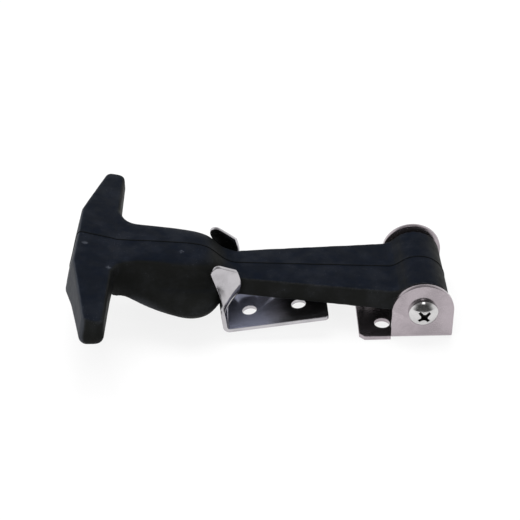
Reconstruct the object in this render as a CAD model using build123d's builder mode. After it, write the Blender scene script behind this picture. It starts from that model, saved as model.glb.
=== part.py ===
"""Rubber T draw latch: a rubber T handle hinged on a folded bracket, hooked on a keeper.

Millimetres. Z is up from the mounting face of the bracket, X runs along the latch with
the grip at -X, and Y lies along the pivot. The origin is on the bracket's mounting face,
straight below the pivot.
"""
import os
from math import atan2, cos, degrees, hypot, radians, sin, sqrt

from build123d import *

os.makedirs("parts", exist_ok=True)

# ---------------------------------------------------------------- driving dimensions
# base bracket
bracket_width = 38.0
bracket_sheet = 1.6
bracket_bend_inside = 1.0
ear_lip = 0.9
flange_length = 10.8
flange_corner = 1.8
base_hole_inset = 8.4
base_hole_edge = 7.4
base_hole_d = 5.4

# pivot screw, nut and spacer tube
screw_d = 5.0
screw_head_d = 10.0
screw_head_height = 3.4
screw_head_rim = 1.1
recess_span = 5.2
recess_wing = 1.2
recess_depth = 1.9
recess_turn = 42.0
screw_fit = 0.10
nut_flats = 8.0
nut_hex_height = 3.6
nut_collar = 1.4
screw_past_nut = 1.2
tube_wall = 1.4
barrel_fit = 0.08

# handle: barrel and strap, heights above the pivot
barrel_radius = 9.6
barrel_side_gap = 1.7
barrel_floor_gap = 0.7
strap_length = 62.0
strap_root_top = 5.3
strap_root_floor = -2.7
strap_root_shoulder = 0.4
strap_neck_half = 8.5
strap_neck_top = 7.9
strap_neck_floor = 0.8
strap_crown = 0.6
strap_flare = 0.4
strap_edge = 0.8
strap_root_fillet = 3.5

# handle: T grip, lengths behind the neck and heights above the pivot
grip_outer = 56.0
grip_tip_outer = 49.2
grip_inner = 42.2
grip_tip_inner = 42.5
grip_flat_half = 15.5
grip_neck_half = 19.0
grip_half = 47.6
grip_end_rake = 4.0
grip_outer_lean = 0.30
grip_inner_lean = 0.06
grip_top = 23.0
grip_top_slope = 16.0
grip_crown = 2.4
grip_floor = 5.7
grip_tip_floor = 9.9
grip_tip_round = 2.6
grip_edge = 1.3
grip_under_round = 2.4

# keeper, hung on the neck of the handle and tilted up towards the pivot
keeper_sheet = 1.5
keeper_width = 36.0
keeper_length = 36.4
keeper_behind_neck = 6.3
keeper_below_neck = 9.3
keeper_tilt = 6.5
keeper_turn = 1.5
keeper_bend_inside = 0.8
keeper_corner = 1.5
keeper_hole_d = 5.0
keeper_hole_inset = 9.3
keeper_hole_pitch = 17.2
notch_clearance = 1.3
notch_wall = 4.9
prong_outer_rise = 19.6
prong_inner_rise = 11.9
prong_outer_reach = 2.2
prong_inner_reach = 8.2
prong_round = 2.4
prong_tip_round = 1.3

# ---------------------------------------------------------------- derived
half_w = bracket_width / 2
ear_inner = half_w - bracket_sheet
ear_radius = barrel_radius + ear_lip
pivot_height = bracket_sheet + barrel_floor_gap + barrel_radius
flange_reach = ear_radius + flange_length
base_hole_x = base_hole_inset - flange_reach
base_hole_spacing = bracket_width - 2 * base_hole_edge
screw_hole_d = screw_d + 2 * screw_fit
tube_d = screw_hole_d + 2 * tube_wall
bore_d = tube_d + 2 * barrel_fit
nut_height = nut_hex_height + nut_collar
barrel_length = 2 * (ear_inner - barrel_side_gap)
strap_root_half = barrel_length / 2 - strap_root_shoulder
neck_x = -strap_length
keeper_back = neck_x - keeper_behind_neck
keeper_floor = pivot_height + strap_neck_floor - keeper_below_neck
notch_half = strap_neck_half + notch_clearance
notch_floor = keeper_sheet + notch_wall


def across(x):
    """Plane square to the length of the latch, with local axes Y and Z."""
    return Plane.YZ.offset(x)


def behind(distance):
    """Plane square to the length, behind the neck, with heights above the pivot."""
    return Plane(origin=(neck_x - distance, 0, pivot_height), x_dir=(0, 1, 0), z_dir=(1, 0, 0))


def along(y):
    """Plane square to the pivot, with local axes X and Z."""
    return Plane(origin=(0, y, 0), x_dir=(1, 0, 0), z_dir=(0, -1, 0))


# ---------------------------------------------------------------- base bracket
with BuildPart() as base_bracket:
    # web and two ears folded up from one strip
    with BuildSketch(across(-ear_radius)) as strip:
        Rectangle(bracket_width, 3 * ear_radius, align=(Align.CENTER, Align.MIN))
        fillet(strip.vertices().group_by(Axis.Y)[0], bracket_bend_inside + bracket_sheet)
    extrude(amount=2 * ear_radius)
    with BuildSketch(across(-ear_radius)) as channel:
        with Locations((0, bracket_sheet)):
            Rectangle(2 * ear_inner, 3 * ear_radius, align=(Align.CENTER, Align.MIN))
        fillet(channel.vertices().group_by(Axis.Y)[0], bracket_bend_inside)
    extrude(amount=2 * ear_radius, mode=Mode.SUBTRACT)
    # round tops
    with BuildSketch(along(half_w)) as ear_face:
        Rectangle(2 * ear_radius, pivot_height, align=(Align.CENTER, Align.MIN))
        with Locations((0, pivot_height)):
            Circle(ear_radius)
    extrude(amount=bracket_width, mode=Mode.INTERSECT)
    # mounting flange with cut corners
    with BuildSketch(Plane.XY) as flange:
        with Locations((-ear_radius, 0)):
            Rectangle(flange_reach - ear_radius, bracket_width, align=(Align.MAX, Align.CENTER))
        chamfer(flange.vertices().group_by(Axis.X)[0], flange_corner)
    extrude(amount=bracket_sheet)
    with BuildSketch(Plane.XY):
        with Locations((base_hole_x, base_hole_spacing / 2), (base_hole_x, -base_hole_spacing / 2)):
            Circle(base_hole_d / 2)
    extrude(amount=bracket_sheet, mode=Mode.SUBTRACT)
    with BuildSketch(along(half_w)):
        with Locations((0, pivot_height)):
            Circle(screw_hole_d / 2)
    extrude(amount=bracket_width, mode=Mode.SUBTRACT)
base_bracket.part.label = "base_bracket"

# ---------------------------------------------------------------- pivot screw
nut_face = half_w + nut_height
with BuildPart() as pivot_screw:
    # domed head on the near ear
    with BuildSketch(along(-half_w)):
        with Locations((0, pivot_height)):
            Circle(screw_head_d / 2)
    extrude(amount=screw_head_height)
    dome = screw_head_height - screw_head_rim
    dome_radius = (screw_head_d ** 2 / 4 + dome ** 2) / (2 * dome)
    with Locations((0, dome_radius - screw_head_height - half_w, pivot_height)):
        Sphere(dome_radius, mode=Mode.INTERSECT)
    # cross recess, turned as the screw was left
    with BuildSketch(along(-half_w - screw_head_height)):
        with Locations(Location((0, pivot_height, 0), (0, 0, recess_turn))):
            Rectangle(recess_span, recess_wing)
            Rectangle(recess_wing, recess_span)
            Circle(recess_wing)
    extrude(amount=-recess_depth, taper=10, mode=Mode.SUBTRACT)
    # shank
    with BuildSketch(along(-half_w)):
        with Locations((0, pivot_height)):
            Circle(screw_d / 2)
    extrude(amount=-(half_w + nut_face + screw_past_nut))
    tail = pivot_screw.edges().filter_by(GeomType.CIRCLE).group_by(Axis.Y)[-1]
    chamfer(tail, 0.5)
pivot_screw.part.label = "pivot_screw"

# ---------------------------------------------------------------- lock nut
with BuildPart() as lock_nut:
    with BuildSketch(along(half_w)):
        with Locations((0, pivot_height)):
            RegularPolygon(nut_flats / 2, 6, major_radius=False)
    extrude(amount=-(nut_height - nut_collar))
    with BuildSketch(along(half_w + nut_height - nut_collar)):
        with Locations((0, pivot_height)):
            Circle(nut_flats / 2 - 0.2)
    extrude(amount=-nut_collar)
    crown = lock_nut.edges().filter_by(GeomType.CIRCLE).group_by(Axis.Y)[-1]
    fillet(crown, 0.6)
    with BuildSketch(along(half_w)):
        with Locations((0, pivot_height)):
            Circle(screw_d / 2 + screw_fit / 2)
    extrude(amount=-nut_height, mode=Mode.SUBTRACT)
lock_nut.part.label = "lock_nut"

# ---------------------------------------------------------------- spacer tube
with BuildPart() as spacer_tube:
    with BuildSketch(along(ear_inner)):
        with Locations((0, pivot_height)):
            Circle(tube_d / 2)
            Circle(screw_hole_d / 2, mode=Mode.SUBTRACT)
    extrude(amount=2 * ear_inner)
spacer_tube.part.label = "spacer_tube"

# ---------------------------------------------------------------- rubber handle
# Sections of the neck and bulb. Each is a bell: a crowned top, a groove under its edge, then
# a skirt that flares out to the floor. Distances behind the neck, heights above the pivot:
# behind, top, edge half, edge drop, groove height, skirt half, floor
neck_sections = [
    (43.6, 19.4, 20.6, 1.6, 14.1, 16.2, 6.4),
    (40.6, 19.1, 14.9, 1.3, 14.4, 14.8, 5.2),
    (37.4, 18.8, 12.2, 1.3, 14.6, 14.6, 3.7),
    (33.0, 18.5, 11.3, 1.2, 14.4, 15.9, 1.7),
    (27.5, 18.1, 11.1, 1.5, 12.6, 17.9, 0.2),
    (21.5, 17.5, 11.5, 2.4, 9.3, 19.7, -1.0),
    (15.8, 16.8, 11.2, 3.0, 7.5, 21.0, -1.1),
    (11.6, 15.6, 10.4, 3.0, 6.9, 19.9, -0.6),
    (8.8, 13.6, 9.4, 2.5, 6.5, 16.5, -0.2),
    (5.8, 10.7, 8.6, 1.8, 5.7, 10.9, 0.4),
    (2.8, 9.0, 8.4, 1.2, 5.1, 8.7, 0.7),
    (0.0, 8.5, 8.4, 0.9, 5.1, 8.55, 0.75),
]
groove_share = 0.08
skirt_share = 0.22
foot_share = 0.16

# fillet between strap and barrel, seen along the pivot: centre and tangent points
strap_slope = (strap_neck_top - strap_root_top) / neck_x
reach = barrel_radius + strap_root_fillet
lift = strap_root_top + strap_root_fillet
fillet_x = -sqrt(reach ** 2 - lift ** 2)
lift = lift + strap_slope * fillet_x
root_on_strap = (fillet_x, pivot_height + lift - strap_root_fillet)
root_on_barrel = (fillet_x * barrel_radius / reach, pivot_height + lift * barrel_radius / reach)
root_middle = (fillet_x + 0.36 * strap_root_fillet, pivot_height + lift - 0.933 * strap_root_fillet)

grip_top_half = grip_half - grip_end_rake
grip_ref = pivot_height + 19.1
grip_low = pivot_height + grip_floor - 2.0
grip_high = pivot_height + grip_top + 2.0
grip_span = grip_half + 4.0


def grip_plan(z):
    """Corner points of the grip seen from above, at height z. The faces lean with height."""
    outer = neck_x - grip_outer - (grip_ref - z) * grip_outer_lean
    inner = neck_x - grip_inner - (grip_ref - z) * grip_inner_lean
    outer_slope = (grip_outer - grip_tip_outer) / (grip_top_half - grip_flat_half)
    inner_slope = (grip_inner - grip_tip_inner) / (grip_top_half - grip_neck_half)
    half = [
        (outer, grip_flat_half),
        (outer + outer_slope * (grip_span - grip_flat_half), grip_span),
        (inner + inner_slope * (grip_span - grip_neck_half), grip_span),
        (inner, grip_neck_half),
    ]
    return half + [(x, -y) for x, y in reversed(half)]


with BuildPart() as grip:
    for z in (grip_low, grip_high):
        with BuildSketch(Plane.XY.offset(z)):
            with BuildLine():
                Polyline(*grip_plan(z), close=True)
            make_face()
    loft(ruled=True)
    # end faces, and an underside that rises towards the tips
    end_lean = (grip_end_rake + 1.8) / 15.2
    end_top = grip_half - end_lean * (grip_high - pivot_height - grip_tip_floor)
    rise_start = 0.17 * grip_half
    rise_middle = 0.55 * grip_half
    rise_end = 0.81 * grip_half
    middle_floor = grip_floor + 0.93 * (grip_tip_floor - grip_floor)
    with BuildSketch(behind(grip_outer + 12.0)):
        with BuildLine():
            Polyline(
                (-rise_start, grip_floor), (rise_start, grip_floor),
                (rise_middle, middle_floor), (rise_end, grip_tip_floor),
                (grip_half, grip_tip_floor), (end_top, grip_high - pivot_height),
                (-end_top, grip_high - pivot_height), (-grip_half, grip_tip_floor),
                (-rise_end, grip_tip_floor), (-rise_middle, middle_floor), close=True,
            )
        make_face()
    extrude(amount=40, mode=Mode.INTERSECT)
    # crowned top that falls towards the neck
    tilt = radians(grip_top_slope)
    crest = Plane(origin=(neck_x - grip_outer + 1.5, 0, pivot_height + grip_top),
                  x_dir=(0, 1, 0), z_dir=(cos(tilt), 0, -sin(tilt)))
    with BuildSketch(crest):
        with BuildLine():
            ThreePointArc((-grip_span, -grip_crown), (0, 0), (grip_span, -grip_crown))
            Polyline((grip_span, -grip_crown), (grip_span, -40), (-grip_span, -40),
                     (-grip_span, -grip_crown))
        make_face()
    extrude(amount=40, both=True, mode=Mode.INTERSECT)
    # rounded tips and edges
    tips = grip.edges().filter_by(
        lambda e: abs(e.center().Y) > 0.85 * grip_half and abs(e.tangent_at(0.5).Z) > 0.8)
    fillet(tips, grip_tip_round)
    floor_faces = grip.faces().filter_by(lambda f: f.normal_at().Z < -0.9)
    under = floor_faces.edges().filter_by(lambda e: len(floor_faces.filter_by(
        lambda f: any(e.is_same(g) for g in f.edges()))) == 1)
    fillet(under, grip_under_round)
    crest_face = grip.faces().sort_by(Axis.Z)[-1]
    fillet(crest_face.edges(), grip_edge)

with BuildPart() as rubber_handle:
    # neck and bulb
    for back, top, edge, drop, groove_z, skirt, floor in neck_sections:
        edge_z = top - drop
        groove = edge + groove_share * (skirt - edge)
        skirt_z = floor + skirt_share * (top - floor)
        foot = skirt - foot_share * (skirt - strap_neck_half)
        right = [(foot, floor), (skirt, skirt_z), (groove, groove_z), (edge, edge_z),
                 (0.6 * edge, top - 0.12 * drop)]
        left = [(-y, z) for y, z in reversed(right)]
        with BuildSketch(behind(back)):
            with BuildLine():
                Spline(*right, (0, top), *left)
                Line((-foot, floor), (foot, floor))
            make_face()
    loft()
    # strap
    for back, half, top, floor, rise in (
        (0, strap_neck_half, strap_neck_top, strap_neck_floor, strap_crown),
        (0.08 * strap_length - strap_length, strap_root_half, strap_root_top,
         strap_root_floor, 0.1),
    ):
        with BuildSketch(behind(back)) as belt:
            with BuildLine():
                ThreePointArc((-half, top), (0, top + rise), (half, top))
                Polyline((half, top), (half + strap_flare, floor), (-half - strap_flare, floor),
                         (-half, top))
            make_face()
            fillet(belt.vertices(), strap_edge)
    loft(ruled=True)
    # hollow fillet between the top of the strap and the barrel
    with BuildSketch(along(strap_root_half - 0.5)):
        with BuildLine():
            ThreePointArc(root_on_strap, root_middle, root_on_barrel)
            Polyline(root_on_barrel, (root_on_barrel[0], pivot_height),
                     (root_on_strap[0], pivot_height), root_on_strap)
        make_face()
    extrude(amount=2 * strap_root_half - 1.0)
    # barrel
    with BuildSketch(along(barrel_length / 2)):
        with Locations((0, pivot_height)):
            Circle(barrel_radius)
    extrude(amount=barrel_length)
    add(grip.part)
    with BuildSketch(along(barrel_length / 2)):
        with Locations((0, pivot_height)):
            Circle(bore_d / 2)
    extrude(amount=barrel_length, mode=Mode.SUBTRACT)
rubber_handle.part.label = "rubber_handle"

# ---------------------------------------------------------------- keeper
# Drawn level from its folded edge: X forward along the plate, Z up from the plate's underside.
# Twist of a prong above the notch wall: rise, inner edge forward, outer edge back, outer edge in
prong_twist = [
    (0.0, 0.0, 0.0, 0.0),
    (2.6, 3.7, 0.1, 0.7),
    (4.9, 5.8, 0.2, 1.9),
    (9.4, 7.1, 0.9, 3.8),
    (20.4, 8.9, 1.2, 6.4),
]
with BuildPart() as prong:
    for rise, forward, back, inwards in prong_twist:
        inner = (keeper_sheet / 2 + forward, -notch_half)
        outer = (keeper_sheet / 2 - back, inwards - keeper_width / 2)
        middle = ((inner[0] + outer[0]) / 2, (inner[1] + outer[1]) / 2, 0)
        width = hypot(inner[0] - outer[0], inner[1] - outer[1])
        turn = degrees(atan2(inner[1] - outer[1], inner[0] - outer[0]))
        with BuildSketch(Plane.XY.offset(notch_floor + rise)):
            with Locations(Location(middle, (0, 0, turn))):
                Rectangle(width, keeper_sheet)
    loft()
    # slanting top edge with rounded corners
    with BuildSketch(along(0)) as outline:
        with BuildLine():
            low_x = keeper_sheet / 2 - prong_outer_reach
            high_x = keeper_sheet / 2 + prong_inner_reach
            Polyline((low_x, 0), (low_x, notch_floor + prong_outer_rise),
                     (high_x, notch_floor + prong_inner_rise), (high_x, 0), close=True)
        make_face()
        fillet(outline.vertices().group_by(Axis.Y)[-1], prong_round)
        fillet(outline.vertices().group_by(Axis.X)[-1].group_by(Axis.Y)[-1], prong_tip_round)
    extrude(amount=keeper_width, mode=Mode.INTERSECT)

with BuildPart() as level_keeper:
    # plate folded up at its back end
    with BuildSketch(along(keeper_width / 2)) as fold:
        Rectangle(keeper_length, notch_floor, align=(Align.MIN, Align.MIN))
        fillet(fold.vertices().group_by(Axis.X)[0].group_by(Axis.Y)[0],
               keeper_bend_inside + keeper_sheet)
        with BuildSketch(mode=Mode.SUBTRACT) as inside:
            with Locations((keeper_sheet, keeper_sheet)):
                Rectangle(2 * keeper_length, 20, align=(Align.MIN, Align.MIN))
            fillet(inside.vertices().group_by(Axis.X)[0].group_by(Axis.Y)[0], keeper_bend_inside)
    extrude(amount=keeper_width)
    fillet(level_keeper.edges().filter_by(Axis.Z).group_by(Axis.X)[-1], keeper_corner)
    add(prong.part)
    add(prong.part.mirror(Plane.XZ))
    # screw holes
    with BuildSketch(Plane.XY):
        with Locations((keeper_hole_inset + keeper_hole_pitch / 2, 0)):
            with GridLocations(keeper_hole_pitch, keeper_hole_pitch, 2, 2):
                Circle(keeper_hole_d / 2)
    extrude(amount=keeper_sheet, mode=Mode.SUBTRACT)

with BuildPart() as keeper:
    with Locations(Location((keeper_back, 0, keeper_floor), (0, -keeper_tilt, keeper_turn))):
        add(level_keeper.part)
keeper.part.label = "keeper"

# ---------------------------------------------------------------- export
for node in (base_bracket, pivot_screw, lock_nut, spacer_tube, rubber_handle, keeper):
    export_step(node.part, "parts/" + node.part.label + ".step")
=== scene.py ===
"""Dresses the rubber T draw latch: a rubber pull handle on a stainless bracket, with its keeper.

Every length is in metres. The latch lies along x with its grip at -x, the pivot runs along y
with the screw head at -y, and the bracket stands on z = 0.
"""
from math import cos, pi, radians, sin

import bmesh
import bpy
from mathutils import Matrix, Vector, noise
from mathutils.bvhtree import BVHTree


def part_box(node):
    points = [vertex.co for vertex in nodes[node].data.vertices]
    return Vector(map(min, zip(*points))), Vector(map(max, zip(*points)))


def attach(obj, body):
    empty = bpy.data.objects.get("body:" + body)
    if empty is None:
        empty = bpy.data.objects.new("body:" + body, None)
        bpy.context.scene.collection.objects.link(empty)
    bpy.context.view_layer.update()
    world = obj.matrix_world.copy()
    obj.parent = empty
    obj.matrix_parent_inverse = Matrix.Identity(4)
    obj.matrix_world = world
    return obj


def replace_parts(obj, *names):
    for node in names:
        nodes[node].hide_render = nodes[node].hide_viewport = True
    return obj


bl_info = {
    "name": "Rubber draw latch",
    "version": (1, 0, 0),
    "blender": (4, 5, 0),
    "location": "3D View > Sidebar > Latch",
    "description": "Builds the finished surfaces, fine parts and studio of a rubber T draw latch",
    "category": "Object",
}

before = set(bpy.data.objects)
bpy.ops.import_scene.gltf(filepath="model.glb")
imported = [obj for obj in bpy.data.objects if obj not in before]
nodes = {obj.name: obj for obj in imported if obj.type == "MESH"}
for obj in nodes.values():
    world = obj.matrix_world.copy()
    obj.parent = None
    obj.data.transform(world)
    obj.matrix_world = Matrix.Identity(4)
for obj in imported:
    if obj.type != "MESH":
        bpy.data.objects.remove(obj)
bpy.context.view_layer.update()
MM = 0.001
WHITE = (1.0, 1.0, 1.0, 1.0)


# ---------------------------------------------------------------- sizes and colours

class LatchSizes(bpy.types.PropertyGroup):
    """Sizes of the fine parts that the finished latch adds to its solids."""
    skin_voxel: bpy.props.FloatProperty(
        name="Skin fineness", description="Edge of one cell of the rubber's fine skin",
        default=0.00055, min=0.0003, max=0.002, precision=5, subtype="DISTANCE", unit="LENGTH")
    skin_wave: bpy.props.FloatProperty(
        name="Skin wave", description="Height of the slow unevenness of the moulded rubber",
        default=0.00007, min=0.0, max=0.0005, precision=5, subtype="DISTANCE", unit="LENGTH")
    parting_radius: bpy.props.FloatProperty(
        name="Parting line radius", description="Radius of the flash left along the mould's joint",
        default=0.0002, min=0.0, max=0.001, precision=5, subtype="DISTANCE", unit="LENGTH")
    sheet_edge: bpy.props.FloatProperty(
        name="Sheet edge", description="Width of the broken edge round each steel sheet",
        default=0.00016, min=0.0, max=0.001, precision=5, subtype="DISTANCE", unit="LENGTH")
    screw_edge: bpy.props.FloatProperty(
        name="Fastener edge", description="Width of the broken edge on the screw and nut",
        default=0.00012, min=0.0, max=0.001, precision=5, subtype="DISTANCE", unit="LENGTH")
    recess_reach: bpy.props.FloatProperty(
        name="Recess reach", description="How far the cross recess reaches from the screw's axis",
        default=0.0029, min=0.0005, max=0.005, precision=5, subtype="DISTANCE", unit="LENGTH")
    dome_rise: bpy.props.FloatProperty(
        name="Dome rise", description="Height of the screw head's dome above its rim",
        default=0.0023, min=0.0005, max=0.005, precision=5, subtype="DISTANCE", unit="LENGTH")
    recess_lip: bpy.props.FloatProperty(
        name="Recess lip", description="Depth below the dome at which the recess turns dark",
        default=0.00014, min=0.0, max=0.003, precision=5, subtype="DISTANCE", unit="LENGTH")
    thread_pitch: bpy.props.FloatProperty(
        name="Thread pitch", description="Pitch of the thread on the screw's end",
        default=0.0008, min=0.0002, max=0.002, precision=5, subtype="DISTANCE", unit="LENGTH")
    shank_radius: bpy.props.FloatProperty(
        name="Shank radius", description="Radius of the screw's shank under its thread",
        default=0.0025, min=0.001, max=0.005, precision=5, subtype="DISTANCE", unit="LENGTH")
    insert_width: bpy.props.FloatProperty(
        name="Insert width", description="Width of the nylon ring that shows in the lock nut",
        default=0.0006, min=0.0, max=0.002, precision=5, subtype="DISTANCE", unit="LENGTH")


class LatchColours(bpy.types.PropertyGroup):
    """Colours of the rubber, the steels and the stage."""
    rubber: bpy.props.FloatVectorProperty(
        name="Rubber", description="Colour of clean moulded rubber",
        default=(0.0062, 0.0066, 0.0062), size=3, min=0.0, max=1.0, subtype="COLOR")
    # painted light: a bluish top light laid on the rubber's upward faces
    rubber_painted_top_light: bpy.props.FloatVectorProperty(
        name="Rubber bloom", description="Bluish bloom that dulls the upper faces of the rubber",
        default=(0.0030, 0.0047, 0.0090), size=3, min=0.0, max=1.0, subtype="COLOR")
    # also the colour of the painted light on the grip's outer face and of the painted highlight on the
    # rubber's edges
    rubber_dust_and_light: bpy.props.FloatVectorProperty(
        name="Dust", description="Pale specks and scuffs on the rubber",
        default=(0.13, 0.14, 0.17), size=3, min=0.0, max=1.0, subtype="COLOR")
    bracket_steel: bpy.props.FloatVectorProperty(
        name="Bracket steel", description="Satin stainless steel of the base bracket",
        default=(0.43, 0.382, 0.408), size=3, min=0.0, max=1.0, subtype="COLOR")
    keeper_steel: bpy.props.FloatVectorProperty(
        name="Keeper steel", description="Polished stainless steel of the keeper",
        default=(0.52, 0.503, 0.525), size=3, min=0.0, max=1.0, subtype="COLOR")
    # painted reflection: a bluish reflection laid on the keeper's flat
    keeper_painted_reflection: bpy.props.FloatVectorProperty(
        name="Keeper film", description="Dull bluish film on the flat of the keeper",
        default=(0.44, 0.47, 0.66), size=3, min=0.0, max=1.0, subtype="COLOR")
    fastener_steel: bpy.props.FloatVectorProperty(
        name="Fastener steel", description="Bright stainless steel of the screw, nut and tube",
        default=(0.66, 0.65, 0.65), size=3, min=0.0, max=1.0, subtype="COLOR")
    nylon: bpy.props.FloatVectorProperty(
        name="Nylon", description="Nylon ring inside the lock nut",
        default=(0.62, 0.64, 0.66), size=3, min=0.0, max=1.0, subtype="COLOR")
    floor: bpy.props.FloatVectorProperty(
        name="Floor", description="Plain pale floor",
        default=(0.86, 0.86, 0.86), size=3, min=0.0, max=1.0, subtype="COLOR")


# ---------------------------------------------------------------- shader node groups

def group_tree(name, inputs, outputs):
    """A shader node group with only its named sockets: the tree, its input and its output."""
    tree = bpy.data.node_groups.new(name, "ShaderNodeTree")
    for label, kind, value in inputs:
        socket = tree.interface.new_socket(label, in_out="INPUT", socket_type=kind)
        if value is not None:
            socket.default_value = value
    for label, kind in outputs:
        tree.interface.new_socket(label, in_out="OUTPUT", socket_type=kind)
    return tree, tree.nodes.new("NodeGroupInput"), tree.nodes.new("NodeGroupOutput")


def add(tree, kind, **settings):
    """A node of that kind with its settings; sockets gives the values of its inputs by name."""
    node = tree.nodes.new(kind)
    sockets = settings.pop("sockets", {})
    for key, value in settings.items():
        setattr(node, key, value)
    for key, value in sockets.items():
        node.inputs[key].default_value = value
    return node


def feed(tree, socket, value):
    """Sets an input socket to a number, or links it to another node's output."""
    if isinstance(value, (int, float)):
        socket.default_value = value
    else:
        tree.links.new(value, socket)


def math_node(tree, operation, first, second, clamp=False):
    """The output of a Math node; each operand is a socket or a number."""
    node = add(tree, "ShaderNodeMath", operation=operation, use_clamp=clamp)
    feed(tree, node.inputs[0], first)
    feed(tree, node.inputs[1], second)
    return node.outputs[0]


def ramp(tree, value, low, high, out_low=0.0, out_high=1.0):
    """A smooth step of a value from low..high to out_low..out_high."""
    node = add(tree, "ShaderNodeMapRange", interpolation_type="SMOOTHSTEP")
    tree.links.new(value, node.inputs["Value"])
    limits = {"From Min": low, "From Max": high, "To Min": out_low, "To Max": out_high}
    for key, number in limits.items():
        feed(tree, node.inputs[key], number)
    return node.outputs["Result"]


def noise_value(tree, vector, scale, detail=3.0, rough=0.55):
    """The value of a noise texture at a vector; scale counts its features in a metre."""
    node = add(tree, "ShaderNodeTexNoise", sockets={"Detail": detail, "Roughness": rough})
    tree.links.new(vector, node.inputs["Vector"])
    feed(tree, node.inputs["Scale"], scale)
    return node.outputs["Fac"]


def axes_of(tree, vector):
    """The X, Y and Z outputs of a vector taken apart."""
    node = add(tree, "ShaderNodeSeparateXYZ")
    tree.links.new(vector, node.inputs[0])
    return node.outputs


def edge_and_crease_group():
    """Masks of the outer edges, broken up as if by handling, and of the inner creases."""
    edge_softness, crease_softness = 0.07, 0.05
    least_wear = 0.15
    tree, given, out = group_tree(
        "edge_and_crease",
        [("Vector", "NodeSocketVector", None), ("Edge", "NodeSocketFloat", 0.55),
         ("Crease", "NodeSocketFloat", 0.46), ("Break Scale", "NodeSocketFloat", 900.0)],
        [("Edge Mask", "NodeSocketFloat"), ("Crease Mask", "NodeSocketFloat")])
    bend = add(tree, "ShaderNodeNewGeometry").outputs["Pointiness"]
    patches = noise_value(tree, given.outputs["Vector"], given.outputs["Break Scale"], 4.0, 0.62)
    upper = math_node(tree, "ADD", given.outputs["Edge"], edge_softness)
    edge = ramp(tree, bend, given.outputs["Edge"], upper)
    broken = ramp(tree, patches, 0.38, 0.66, least_wear, 1.0)
    edge = math_node(tree, "MULTIPLY", edge, broken, clamp=True)
    lower = math_node(tree, "SUBTRACT", given.outputs["Crease"], crease_softness)
    # the crease mask places painted shade in the hollows of the rubber
    crease = ramp(tree, bend, given.outputs["Crease"], lower)
    tree.links.new(edge, out.inputs["Edge Mask"])
    tree.links.new(crease, out.inputs["Crease Mask"])
    return tree


def dust_and_facing_group():
    """Masks of fine specks, of soft dusty patches, and of faces that look up or along -x.

    Up and -x are the object's own, so what they mask stays in place when the handle turns.
    """
    tree, given, out = group_tree(
        "dust_and_facing",
        [("Vector", "NodeSocketVector", None), ("Speck Scale", "NodeSocketFloat", 1500.0),
         ("Patch Scale", "NodeSocketFloat", 90.0)],
        [("Specks", "NodeSocketFloat"), ("Patches", "NodeSocketFloat"), ("Upward", "NodeSocketFloat"),
         ("Endward", "NodeSocketFloat")])
    specks = add(tree, "ShaderNodeTexVoronoi", sockets={"Randomness": 1.0})
    tree.links.new(given.outputs["Vector"], specks.inputs["Vector"])
    tree.links.new(given.outputs["Speck Scale"], specks.inputs["Scale"])
    spread = noise_value(tree, given.outputs["Vector"], given.outputs["Patch Scale"], 5.0, 0.6)
    chosen = add(tree, "ShaderNodeSeparateColor")
    tree.links.new(specks.outputs["Color"], chosen.inputs["Color"])
    few = ramp(tree, chosen.outputs["Red"], 0.84, 0.88)
    dots = ramp(tree, specks.outputs["Distance"], 0.25, 0.10)
    dots = math_node(tree, "MULTIPLY", dots, few)
    dots = math_node(tree, "MULTIPLY", dots, ramp(tree, spread, 0.42, 0.60))
    facing = axes_of(tree, add(tree, "ShaderNodeTexCoord").outputs["Normal"])
    tree.links.new(dots, out.inputs["Specks"])
    tree.links.new(ramp(tree, spread, 0.40, 0.72), out.inputs["Patches"])
    # the Upward and Endward masks place painted light: the rubber's top light, the grip's outer face and
    # the keeper's reflection
    tree.links.new(ramp(tree, facing["Z"], 0.66, 0.96), out.inputs["Upward"])
    tree.links.new(ramp(tree, facing["X"], -0.20, -0.60), out.inputs["Endward"])
    return tree


def brushed_group():
    """Fine parallel lines of a rolled sheet, drawn out along one direction, and soft clouds."""
    cloud_scale = 160.0
    tree, given, out = group_tree(
        "brushed",
        [("Vector", "NodeSocketVector", None), ("Stretch", "NodeSocketVector", (1.0, 1.0, 1.0)),
         ("Scale", "NodeSocketFloat", 2400.0)],
        [("Lines", "NodeSocketFloat"), ("Clouds", "NodeSocketFloat")])
    drawn = add(tree, "ShaderNodeVectorMath", operation="MULTIPLY")
    tree.links.new(given.outputs["Vector"], drawn.inputs[0])
    tree.links.new(given.outputs["Stretch"], drawn.inputs[1])
    lines = noise_value(tree, drawn.outputs[0], given.outputs["Scale"], 4.0, 0.6)
    clouds = noise_value(tree, given.outputs["Vector"], cloud_scale, 3.0, 0.5)
    tree.links.new(lines, out.inputs["Lines"])
    tree.links.new(clouds, out.inputs["Clouds"])
    return tree


def shared_groups():
    """Every shared shader group by name, each built once."""
    makers = {"edge_and_crease": edge_and_crease_group, "dust_and_facing": dust_and_facing_group, "brushed": brushed_group}
    return {name: bpy.data.node_groups.get(name) or make() for name, make in makers.items()}


# ---------------------------------------------------------------- materials

def new_material(name):
    """A material with a Principled shader: itself, its tree, the shader and the object's place."""
    material = bpy.data.materials.new(name)
    material.use_nodes = True
    tree = material.node_tree
    shader = tree.nodes["Principled BSDF"]
    place = tree.nodes.new("ShaderNodeTexCoord").outputs["Object"]
    return material, tree, shader, place


def use_group(tree, name, place, **sockets):
    """A shared group in a material, read at place; _ in a socket's name stands for a space."""
    node = add(tree, "ShaderNodeGroup", node_tree=shared_groups()[name])
    tree.links.new(place, node.inputs["Vector"])
    for key, value in sockets.items():
        node.inputs[key.replace("_", " ")].default_value = value
    return node


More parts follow.
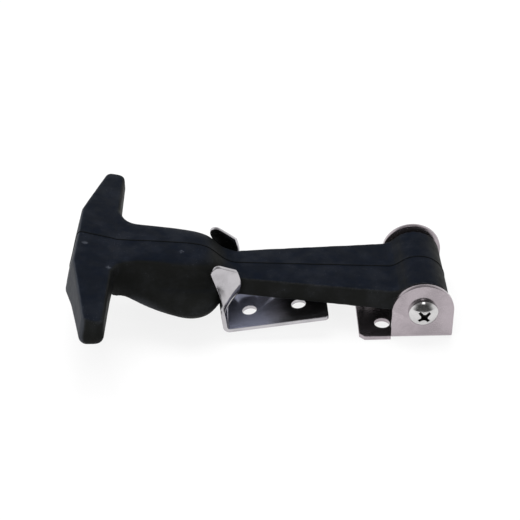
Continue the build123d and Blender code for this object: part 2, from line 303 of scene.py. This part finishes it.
def blend_colour(tree, factor, first, second):
    """A colour mix; each colour is a socket or three numbers."""
    node = add(tree, "ShaderNodeMix", data_type="RGBA")
    tree.links.new(factor, node.inputs[0])
    for socket, value in ((node.inputs[6], first), (node.inputs[7], second)):
        if isinstance(value, bpy.types.NodeSocket):
            tree.links.new(value, socket)
        else:
            socket.default_value = (*value, 1.0)
    return node.outputs[2]


def shade_of(colour, share):
    """A colour made darker or brighter by a share, at most 1."""
    return [min(1.0, share * channel) for channel in colour]


def laid_over(tree, below, above, mask, strength):
    """A colour laid over another where a mask shows, at a strength."""
    return blend_colour(tree, math_node(tree, "MULTIPLY", mask, strength), below, above)


def bump(tree, shader, height, strength, distance):
    """Tilts the shader's normal by a height from 0 to 1 that stands distance metres high."""
    node = add(tree, "ShaderNodeBump", sockets={"Strength": strength, "Distance": distance})
    tree.links.new(height, node.inputs["Height"])
    tree.links.new(node.outputs["Normal"], shader.inputs["Normal"])


def painted_top_light_mask(tree, place, dust_and_facing, mottle):
    """Painted bluish top light: upward faces above a level that falls from the grip to the pivot,
    slightly mottled.
    """
    bulb_x, fall = -78 * MM, 0.12
    level_low, level_high = 17.5 * MM, 19.5 * MM
    at = axes_of(tree, place)
    slant = math_node(tree, "MULTIPLY", math_node(tree, "ADD", at["X"], -bulb_x), fall)
    level = math_node(tree, "ADD", at["Z"], slant)
    above = ramp(tree, level, level_low, level_high)
    upper = math_node(tree, "MULTIPLY", dust_and_facing.outputs["Upward"], above)
    return math_node(tree, "MULTIPLY", upper, ramp(tree, mottle, 0.3, 0.7, 0.75, 1.0))


def grip_end_painted_light_mask(tree, place, dust_and_facing, mottle):
    """Painted light on the grip's outer face, which looks along -x, slightly mottled."""
    neck_x, grip_x = -85 * MM, -95 * MM
    along = axes_of(tree, place)["X"]
    far_out = math_node(tree, "MULTIPLY", dust_and_facing.outputs["Endward"], ramp(tree, along, neck_x, grip_x))
    return math_node(tree, "MULTIPLY", far_out, ramp(tree, mottle, 0.3, 0.7, 0.15, 0.21))


def rubber_material(colours):
    """Matt black rubber with painted bluish top light, painted light on the grip's outer face, painted
    shade in the creases, pale specks, and pale edges that are partly scuffs and partly painted highlight.
    """
    patch_strength, scuff_and_highlight_strength, speck_strength, crease_shade_strength = 0.035, 0.36, 0.42, 0.8
    relief_height = 0.05 * MM
    material, tree, shader, place = new_material("moulded_rubber")
    edges_and_creases = use_group(tree, "edge_and_crease", place, Edge=0.515, Crease=0.485, Break_Scale=1400.0)
    dust_and_facing = use_group(tree, "dust_and_facing", place, Speck_Scale=2500.0, Patch_Scale=120.0)
    grain = noise_value(tree, place, 3200.0, 3.0, 0.6)
    mottle = noise_value(tree, place, 260.0, 4.0, 0.6)
    pale, dark = colours.rubber_dust_and_light, shade_of(colours.rubber, 0.2)
    painted_top_light = painted_top_light_mask(tree, place, dust_and_facing, mottle)
    # painted bluish top light on the rubber's upward faces
    colour = blend_colour(tree, painted_top_light, colours.rubber, colours.rubber_painted_top_light)
    colour = laid_over(tree, colour, pale, dust_and_facing.outputs["Patches"], patch_strength)
    # painted light on the grip's outer face, in the pale dust colour
    colour = blend_colour(tree, grip_end_painted_light_mask(tree, place, dust_and_facing, mottle), colour, pale)
    # pale edges: partly scuffs, partly painted highlight along the crests
    colour = laid_over(tree, colour, pale, edges_and_creases.outputs["Edge Mask"], scuff_and_highlight_strength)
    colour = laid_over(tree, colour, pale, dust_and_facing.outputs["Specks"], speck_strength)
    # painted shade in the creases of the rubber
    colour = laid_over(tree, colour, dark, edges_and_creases.outputs["Crease Mask"], crease_shade_strength)
    tree.links.new(colour, shader.inputs["Base Color"])
    tree.links.new(ramp(tree, mottle, 0.25, 0.75, 0.46, 0.62), shader.inputs["Roughness"])
    shader.inputs["Specular IOR Level"].default_value = 0.040
    height = math_node(tree, "ADD", math_node(tree, "MULTIPLY", grain, 0.7),
                       math_node(tree, "MULTIPLY", mottle, 0.5))
    bump(tree, shader, height, 0.5, relief_height)
    return material


def flash_material(colours):
    """Rubber of the parting line, a shade darker than the faces beside it."""
    material, tree, shader, place = new_material("parting_line_rubber")
    mottle = noise_value(tree, place, 500.0, 4.0, 0.6)
    colour = blend_colour(tree, mottle, shade_of(colours.rubber, 0.35), colours.rubber)
    tree.links.new(colour, shader.inputs["Base Color"])
    tree.links.new(ramp(tree, mottle, 0.3, 0.7, 0.6, 0.75), shader.inputs["Roughness"])
    shader.inputs["Specular IOR Level"].default_value = 0.02
    bump(tree, shader, mottle, 0.4, 0.04 * MM)
    return material


def lay_keeper_reflection(tree, shader, place, dust_and_facing, clouds, tone, colour):
    """A painted bluish reflection, made matt, on the keeper's flat that fades towards the pivot; gives
    back the new tone.
    """
    full_x, clear_x, drift_length = -54 * MM, -40 * MM, 6 * MM
    flat_top, prong_foot = 13 * MM, 18 * MM
    least_reach, tint, metal_lost = 0.12, 0.8, 0.24
    at = axes_of(tree, place)
    drift = math_node(tree, "MULTIPLY", clouds, drift_length)
    reach = ramp(tree, math_node(tree, "ADD", at["X"], drift), clear_x, full_x, least_reach, 1.0)
    low = ramp(tree, at["Z"], flat_top, prong_foot, 1.0, 0.0)
    painted_reflection_mask = math_node(tree, "MULTIPLY", math_node(tree, "MULTIPLY", dust_and_facing.outputs["Upward"], low), reach)
    tree.links.new(ramp(tree, painted_reflection_mask, 0.0, 1.0, 1.0, 1.0 - metal_lost), shader.inputs["Metallic"])
    return laid_over(tree, tone, colour, painted_reflection_mask, tint)


def steel_material(name, colour, stretch, rough, relief, reflection_colour=None):
    """Stainless steel with rolled lines, faint cloudy staining and brighter worn edges.

    stretch squeezes the lines along an axis, rough is the range of the roughness, and relief
    the strength of the lines' bump. reflection_colour adds the keeper's painted reflection.
    """
    line_strength, edge_strength, speck_strength = 0.16, 0.7, 0.35
    patch_roughness = 0.05
    material, tree, shader, place = new_material(name)
    brushed = use_group(tree, "brushed", place, Stretch=stretch)
    lines, clouds = brushed.outputs["Lines"], brushed.outputs["Clouds"]
    edges_and_creases = use_group(tree, "edge_and_crease", place, Edge=0.54, Break_Scale=700.0)
    dust_and_facing = use_group(tree, "dust_and_facing", place, Speck_Scale=1300.0, Patch_Scale=140.0)
    stain, bright, grey = (shade_of(colour, share) for share in (0.82, 1.28, 0.45))
    tone = blend_colour(tree, ramp(tree, clouds, 0.35, 0.68), colour, stain)
    tone = laid_over(tree, tone, stain, lines, line_strength)
    tone = laid_over(tree, tone, bright, edges_and_creases.outputs["Edge Mask"], edge_strength)
    tone = laid_over(tree, tone, grey, dust_and_facing.outputs["Specks"], speck_strength)
    shader.inputs["Metallic"].default_value = 0.97
    if reflection_colour is not None:
        # painted bluish reflection on the keeper's flat, fading towards the pivot
        tone = lay_keeper_reflection(tree, shader, place, dust_and_facing, clouds, tone, reflection_colour)
    tree.links.new(tone, shader.inputs["Base Color"])
    gloss = ramp(tree, lines, 0.3, 0.7, *rough)
    dulled = math_node(tree, "MULTIPLY", dust_and_facing.outputs["Patches"], patch_roughness)
    tree.links.new(math_node(tree, "ADD", gloss, dulled), shader.inputs["Roughness"])
    bump(tree, shader, lines, relief, 0.02 * MM)
    return material


def recess_material(colours):
    """Painted shade inside the screw's cross recess."""
    material, tree, shader, place = new_material("recess_painted_shade")
    mottle = noise_value(tree, place, 1800.0, 4.0, 0.6)
    dark, light = (shade_of(colours.fastener_steel, share) for share in (0.04, 0.16))
    colour = blend_colour(tree, ramp(tree, mottle, 0.45, 0.75), dark, light)
    tree.links.new(colour, shader.inputs["Base Color"])
    tree.links.new(ramp(tree, mottle, 0.3, 0.7, 0.45, 0.65), shader.inputs["Roughness"])
    shader.inputs["Metallic"].default_value = 1.0
    bump(tree, shader, mottle, 0.3, 0.02 * MM)
    return material


def nylon_material(colours):
    """Slightly waxy nylon with faint turning marks."""
    material, tree, shader, place = new_material("nylon")
    mottle = noise_value(tree, place, 900.0, 3.0, 0.5)
    colour = blend_colour(tree, mottle, shade_of(colours.nylon, 0.8), colours.nylon)
    tree.links.new(colour, shader.inputs["Base Color"])
    tree.links.new(ramp(tree, mottle, 0.3, 0.7, 0.38, 0.5), shader.inputs["Roughness"])
    bump(tree, shader, mottle, 0.3, 0.03 * MM)
    return material


# ---------------------------------------------------------------- mesh helpers

def new_draft(name, data):
    """A linked object to shape with modifiers, which finish_draft takes away again."""
    draft = bpy.data.objects.new(name, data)
    bpy.context.scene.collection.objects.link(draft)
    return draft


def finish_draft(draft):
    """The smooth mesh that a draft's modifiers give, with the draft itself removed."""
    graph = bpy.context.evaluated_depsgraph_get()
    mesh = bpy.data.meshes.new_from_object(draft.evaluated_get(graph), depsgraph=graph)
    bpy.data.objects.remove(draft)
    mesh.shade_smooth()
    return mesh


def new_piece(name, mesh, material, body):
    """Links a mesh as a piece that rides on a body and takes its finish from a slot."""
    piece = bpy.data.objects.new(name, mesh)
    bpy.context.scene.collection.objects.link(piece)
    mesh.materials.clear()
    mesh.materials.append(material)
    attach(piece, body)
    return piece


def dress(node, material):
    """Gives a CAD node its material in every slot it has."""
    slots = node.data.materials
    if not slots:
        slots.append(material)
    for index in range(len(slots)):
        slots[index] = material


def skin_mesh(node, voxel, wave):
    """A fine, even skin over a solid, with the slow unevenness of moulded rubber."""
    slow_scale, fine_scale, fine_share = 55.0, 210.0, 0.4
    fine_shift = Vector((7.0, 3.0, 5.0))
    draft = new_draft("skin_draft", node.data.copy())
    remesh = draft.modifiers.new("skin", "REMESH")
    remesh.mode = "VOXEL"
    remesh.voxel_size = voxel
    ease = draft.modifiers.new("ease", "SMOOTH")
    ease.factor = 0.5
    # more rounds would fill the corner in which the keeper hangs
    ease.iterations = 4
    mesh = finish_draft(draft)
    work = bmesh.new()
    work.from_mesh(mesh)
    for vertex in work.verts:
        slow = noise.noise(vertex.co * slow_scale)
        fine = noise.noise(vertex.co * fine_scale + fine_shift)
        vertex.co += vertex.normal * wave * (slow + fine_share * fine)
    work.to_mesh(mesh)
    work.free()
    mesh.shade_smooth()
    return mesh


def middle_loops(mesh):
    """The outlines of a mesh on the plane y = 0; a closed one ends on its first point."""
    work = bmesh.new()
    work.from_mesh(mesh)
    cut = bmesh.ops.bisect_plane(
        work, geom=work.verts[:] + work.edges[:] + work.faces[:],
        plane_co=(0, 0, 0), plane_no=(0, 1, 0))["geom_cut"]
    edges = {item for item in cut if isinstance(item, bmesh.types.BMEdge)}
    loops = []
    while edges:
        edge = edges.pop()
        start, here = edge.verts
        points = [start.co.copy(), here.co.copy()]
        while here is not start:
            step = next((link for link in here.link_edges if link in edges), None)
            if step is None:
                break
            edges.discard(step)
            here = step.other_vert(here)
            points.append(here.co.copy())
        loops.append(points)
    work.free()
    return loops


def bar_along(points, radius):
    """A mesh bar of round section along a closed line of points."""
    curve = bpy.data.curves.new("bar_draft", "CURVE")
    curve.dimensions = "3D"
    curve.bevel_depth = radius
    curve.bevel_resolution = 1
    spline = curve.splines.new("POLY")
    spline.points.add(len(points) - 1)
    for point, place in zip(spline.points, points):
        point.co = (*place, 1.0)
    spline.use_cyclic_u = True
    mesh = finish_draft(new_draft("bar_draft", curve))
    bpy.data.curves.remove(curve)
    return mesh


def broken_edges(node, width, hold_back=False):
    """A copy of a solid's mesh with its sharp edges rounded over by width.

    hold_back makes the width smaller wherever two edges would run into each other.
    """
    sharp_angle, flat_angle = radians(38.0), radians(0.4)
    weld_distance, stray_share = 1e-7, 0.35
    draft = new_draft("edge_draft", node.data.copy())
    work = bmesh.new()
    work.from_mesh(draft.data)
    bmesh.ops.remove_doubles(work, verts=work.verts, dist=weld_distance)
    bmesh.ops.dissolve_limit(work, angle_limit=flat_angle, verts=work.verts, edges=work.edges)
    work.to_mesh(draft.data)
    work.free()
    bevel = draft.modifiers.new("edges", "BEVEL")
    bevel.width = width
    bevel.segments = 3
    bevel.limit_method = "ANGLE"
    bevel.angle_limit = sharp_angle
    bevel.use_clamp_overlap = hold_back
    bevel.loop_slide = False
    mesh = finish_draft(draft)
    # a bevel between long thin faces can shoot past a corner: draw such points back to the solid
    solid = BVHTree.FromPolygons([vertex.co.copy() for vertex in node.data.vertices],
                                 [tuple(face.vertices) for face in node.data.polygons])
    for vertex in mesh.vertices:
        nearest, _, _, gap = solid.find_nearest(vertex.co)
        if gap > stray_share * width:
            vertex.co = nearest
    mesh.set_sharp_from_angle(angle=sharp_angle)
    return mesh


def darken_recess(mesh, material, box, sizes):
    """Gives the faces inside the screw's cross recess their own material of painted shade.

    They lie near the axis and deeper than the lip under the sphere of the head's dome.
    """
    low, high = box
    head, rise = (high.x - low.x) / 2, sizes.dome_rise
    dome = (head ** 2 + rise ** 2) / (2 * rise)
    centre = Vector(((low.x + high.x) / 2, low.y + dome, (low.z + high.z) / 2))
    mesh.materials.append(material)
    for face in mesh.polygons:
        away = face.center - centre
        near_axis = Vector((away.x, away.z)).length < sizes.recess_reach
        if near_axis and away.y < 0 and away.length < dome - sizes.recess_lip:
            face.material_index = 1


def point_round(axis, radius, angle, y):
    """A point at a radius and an angle round the pivot's axis."""
    return axis.x + radius * cos(angle), y, axis.z + radius * sin(angle)


def mesh_of_rows(name, rows, closed=False):
    """A smooth mesh over rows of points; closed joins the last row to the first."""
    work = bmesh.new()
    grid = [[work.verts.new(point) for point in row] for row in rows]
    next_rows = grid[1:] + (grid[:1] if closed else [])
    for row, following in zip(grid, next_rows):
        for side in range(len(row) - 1):
            work.faces.new((row[side], row[side + 1], following[side + 1], following[side]))
    bmesh.ops.recalc_face_normals(work, faces=work.faces)
    mesh = bpy.data.meshes.new(name)
    work.to_mesh(mesh)
    work.free()
    mesh.shade_smooth()
    return mesh


def thread_mesh(axis, start, end, shank, pitch):
    """A helical ridge round the screw's end, fading in and out, from start to end along y."""
    steps_per_turn, fade_rate = 40, 6.0
    depth, margin = 0.16 * pitch, 0.25 * pitch
    # the ridge's section: how far along the axis in pitches, and how high in depths
    section = ((-0.45, -0.2), (-0.06, 1.0), (0.06, 1.0), (0.45, -0.2))
    length = end - start - 2 * margin
    turns = length / pitch
    count = int(steps_per_turn * turns)
    rows = []
    for index in range(count + 1):
        share = index / count
        angle = 2 * pi * turns * share
        fade = min(1.0, fade_rate * share, fade_rate * (1.0 - share))
        y = start + margin + length * share
        rows.append([point_round(axis, shank + depth * height * fade, angle, y + offset * pitch * fade)
                     for offset, height in section])
    return mesh_of_rows("thread", rows)


def ring_mesh(axis, face, inner, width):
    """A softly domed ring that stands a little proud of the nut's end face."""
    steps, arc = 64, 7
    sunk, rise = 0.10 * MM, 0.22 * MM
    rows = []
    for index in range(steps):
        angle = 2 * pi * index / steps
        shares = [part / (arc - 1) for part in range(arc)]
        rows.append([point_round(axis, inner + width * share, angle, face - sunk + rise * sin(pi * share))
                     for share in shares])
    return mesh_of_rows("ring", rows, closed=True)


# ---------------------------------------------------------------- operators

FEWEST_OUTLINE_POINTS = 50
RING_CLEARANCE = 0.02 * MM


class LATCH_OT_handle(bpy.types.Operator):
    """Builds the rubber handle's skin and the parting line round it"""
    bl_idname = "latch.handle"
    bl_label = "Rubber handle"

    def execute(self, context):
        sizes, colours = context.scene.latch_sizes, context.scene.latch_colours
        node = nodes["rubber_handle"]
        mesh = skin_mesh(node, sizes.skin_voxel, sizes.skin_wave)
        skin = new_piece("handle_skin", mesh, rubber_material(colours), "handle")
        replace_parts(skin, "rubber_handle")
        outline = max(middle_loops(mesh), key=len)
        if len(outline) < FEWEST_OUTLINE_POINTS:
            raise RuntimeError("the skin has no outline on its middle plane")
        line = bar_along(outline[:-1], sizes.parting_radius)
        new_piece("handle_parting_line", line, flash_material(colours), "handle")
        return {"FINISHED"}


class LATCH_OT_plates(bpy.types.Operator):
    """Builds the base bracket and the keeper with broken sheet edges"""
    bl_idname = "latch.plates"
    bl_label = "Bracket and keeper"

    def execute(self, context):
        sizes, colours = context.scene.latch_sizes, context.scene.latch_colours
        satin = steel_material(
            "satin_stainless", colours.bracket_steel,
            stretch=(0.05, 1.0, 1.0), rough=(0.18, 0.26), relief=0.02)
        polished = steel_material(
            "polished_stainless", colours.keeper_steel,
            stretch=(1.0, 0.05, 1.0), rough=(0.09, 0.15), relief=0.03,
            reflection_colour=colours.keeper_painted_reflection)
        for label, node, material, body, slot in (
                ("bracket_sheet", "base_bracket", satin, "bracket", "bracket_steel"),
                ("keeper_sheet", "keeper", polished, "handle", "keeper_steel")):
            mesh = broken_edges(nodes[node], sizes.sheet_edge)
            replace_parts(new_piece(label, mesh, material, body), node)
        return {"FINISHED"}


class LATCH_OT_fasteners(bpy.types.Operator):
    """Builds the pivot screw, its lock nut and the spacer tube"""
    bl_idname = "latch.fasteners"
    bl_label = "Screw, nut and tube"

    def execute(self, context):
        sizes, colours = context.scene.latch_sizes, context.scene.latch_colours
        bright = steel_material(
            "bright_stainless", colours.fastener_steel,
            stretch=(1.0, 1.0, 1.0), rough=(0.10, 0.16), relief=0.06)
        for label, node in (("pivot_screw_bright", "pivot_screw"), ("lock_nut_bright", "lock_nut")):
            mesh = broken_edges(nodes[node], sizes.screw_edge, hold_back=True)
            piece = new_piece(label, mesh, bright, "bracket")
            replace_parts(piece, node)
            if node == "pivot_screw":
                # painted shade inside the cross recess
                darken_recess(mesh, recess_material(colours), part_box(node), sizes)
        dress(nodes["spacer_tube"], bright)
        screw_low, screw_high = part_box("pivot_screw")
        nut_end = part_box("lock_nut")[1].y
        axis = (screw_low + screw_high) / 2
        shank = sizes.shank_radius
        ridge = thread_mesh(axis, nut_end, screw_high.y, shank, sizes.thread_pitch)
        new_piece("screw_thread", ridge, bright, "bracket")
        ring = ring_mesh(axis, nut_end, shank + RING_CLEARANCE, sizes.insert_width)
        new_piece("lock_nut_ring", ring, nylon_material(colours), "bracket")
        return {"FINISHED"}


class LATCH_OT_stage(bpy.types.Operator):
    """Sets the floor, the pale world, the three studio lamps and the camera"""
    bl_idname = "latch.stage"
    bl_label = "Studio"

    def execute(self, context):
        stage_floor(context.scene.latch_colours.floor)
        stage_world()
        stage_lamps()
        stage_camera(context.scene)
        return {"FINISHED"}


# ---------------------------------------------------------------- studio

def seen_directly(tree):
    """1 for rays that show the backdrop: camera, mirror and clear ones."""
    path = tree.nodes.new("ShaderNodeLightPath")
    seen = math_node(tree, "MAXIMUM", path.outputs["Is Camera Ray"], path.outputs["Is Glossy Ray"])
    return math_node(tree, "MAXIMUM", seen, path.outputs["Is Transmission Ray"])


def lit_and_seen(tree, share, lit, seen, output_kind):
    """Mixes what lights the latch with what is seen, by share, into the tree's output."""
    mixed = add(tree, "ShaderNodeMixShader")
    feed(tree, mixed.inputs[0], share)
    tree.links.new(lit.outputs[0], mixed.inputs[1])
    tree.links.new(seen.outputs[0], mixed.inputs[2])
    out = add(tree, output_kind)
    tree.links.new(mixed.outputs[0], out.inputs["Surface"])


def stage_floor(colour):
    """A plain pale floor that keeps the latch's soft shadow."""
    white_share, reach, drop = 0.82, 4.0, 0.05 * MM
    material = bpy.data.materials.new("pale_floor")
    material.use_nodes = True
    tree = material.node_tree
    tree.nodes.clear()
    matt = add(tree, "ShaderNodeBsdfDiffuse", sockets={"Color": (*colour, 1.0)})
    white = add(tree, "ShaderNodeEmission", sockets={"Color": WHITE})
    share = math_node(tree, "MULTIPLY", seen_directly(tree), white_share)
    lit_and_seen(tree, share, matt, white, "ShaderNodeOutputMaterial")
    corners = [(reach * x, reach * y, -drop) for x, y in ((-1, -1), (1, -1), (1, 1), (-1, 1))]
    mesh = bpy.data.meshes.new("floor")
    mesh.from_pydata(corners, [], [(0, 1, 2, 3)])
    mesh.materials.append(material)
    floor = bpy.data.objects.new("floor", mesh)
    bpy.context.scene.collection.objects.link(floor)


def stage_world():
    """A pale surrounding: white behind the latch, and an even soft light on it.

    The steel mirrors it white too, but for a dim part overhead and a dark part on the near side.
    """
    lighting, overhead_share, near_share = 0.42, 0.32, 0.06
    world = bpy.data.worlds.new("studio")
    bpy.context.scene.world = world
    world.use_nodes = True
    tree = world.node_tree
    tree.nodes.clear()
    light = add(tree, "ShaderNodeBackground", sockets={"Color": WHITE, "Strength": lighting})
    white = add(tree, "ShaderNodeBackground", sockets={"Color": WHITE})
    direction = axes_of(tree, tree.nodes.new("ShaderNodeTexCoord").outputs["Generated"])
    overhead = ramp(tree, direction["Z"], 0.30, 0.62, 1.0, overhead_share)
    near = ramp(tree, direction["Y"], -0.80, -0.35, near_share, 1.0)
    shaded = math_node(tree, "MULTIPLY", overhead, near)
    straight = tree.nodes.new("ShaderNodeLightPath").outputs["Is Camera Ray"]
    tree.links.new(math_node(tree, "MAXIMUM", straight, shaded), white.inputs["Strength"])
    lit_and_seen(tree, seen_directly(tree), light, white, "ShaderNodeOutputWorld")


def aimed(place, target):
    """The rotation that turns -z from place towards target."""
    return (Vector(target) - Vector(place)).to_track_quat("-Z", "Y").to_euler()


def stage_lamps():
    """Broad soft lamps overhead and from the front left, and a small one that the steel shows."""
    middle = (-0.055, 0.0, 0.01)
    for name, place, size, power in (
            ("overhead_lamp", (-0.10, 0.22, 0.75), 0.7, 7.2),
            ("accent_lamp", (0.02, -0.42, 0.62), 0.20, 0.30),
            ("front_lamp", (-0.40, -0.56, 0.20), 0.7, 4.2)):
        lamp = bpy.data.lights.new(name, "AREA")
        lamp.shape = "SQUARE"
        lamp.size = size
        lamp.energy = power
        holder = bpy.data.objects.new(name, lamp)
        holder.location = place
        holder.rotation_euler = aimed(place, middle)
        holder.visible_glossy = name == "accent_lamp"
        bpy.context.scene.collection.objects.link(holder)


def stage_camera(scene):
    """A long lens that looks down on the latch from the screw head's side, slightly rolled."""
    target = Vector((-54.97, 15.84, 10.0)) * MM
    distance = 443.64 * MM
    elevation, turn, roll = radians(35.40), radians(-0.07), radians(-1.10)
    back = Vector((sin(turn) * cos(elevation), -cos(turn) * cos(elevation), sin(elevation)))
    level = Vector((cos(turn), sin(turn), 0.0))
    upright = back.cross(level)
    right = level * cos(roll) + upright * sin(roll)
    up = upright * cos(roll) - level * sin(roll)
    place = target + back * distance
    lens = bpy.data.cameras.new("camera")
    lens.sensor_width = 36.0
    lens.lens = 84.58
    lens.clip_start = 0.01
    lens.clip_end = 50.0
    camera = bpy.data.objects.new("camera", lens)
    scene.collection.objects.link(camera)
    camera.matrix_world = Matrix((
        (right.x, up.x, back.x, place.x),
        (right.y, up.y, back.y, place.y),
        (right.z, up.z, back.z, place.z),
        (0.0, 0.0, 0.0, 1.0)))
    scene.camera = camera
    scene.view_settings.view_transform = "Standard"


# ---------------------------------------------------------------- panel and start

OPERATORS = (LATCH_OT_handle, LATCH_OT_plates, LATCH_OT_fasteners, LATCH_OT_stage)


class LATCH_PT_panel(bpy.types.Panel):
    """Lists the latch's sizes, colours and builders"""
    bl_idname = "LATCH_PT_panel"
    bl_label = "Rubber draw latch"
    bl_space_type = "VIEW_3D"
    bl_region_type = "UI"
    bl_category = "Latch"

    def draw(self, context):
        for group in (context.scene.latch_sizes, context.scene.latch_colours):
            box = self.layout.box()
            for key in group.__annotations__:
                box.prop(group, key)
        for operator in OPERATORS:
            self.layout.operator(operator.bl_idname)


CLASSES = (LatchSizes, LatchColours, *OPERATORS, LATCH_PT_panel)


def register():
    for cls in CLASSES:
        bpy.utils.register_class(cls)
    bpy.types.Scene.latch_sizes = bpy.props.PointerProperty(type=LatchSizes)
    bpy.types.Scene.latch_colours = bpy.props.PointerProperty(type=LatchColours)


def unregister():
    del bpy.types.Scene.latch_colours
    del bpy.types.Scene.latch_sizes
    for cls in reversed(CLASSES):
        bpy.utils.unregister_class(cls)


def main():
    """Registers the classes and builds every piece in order."""
    register()
    bpy.ops.latch.handle()
    bpy.ops.latch.plates()
    bpy.ops.latch.fasteners()
    bpy.ops.latch.stage()


if __name__ == "__main__":
    main()
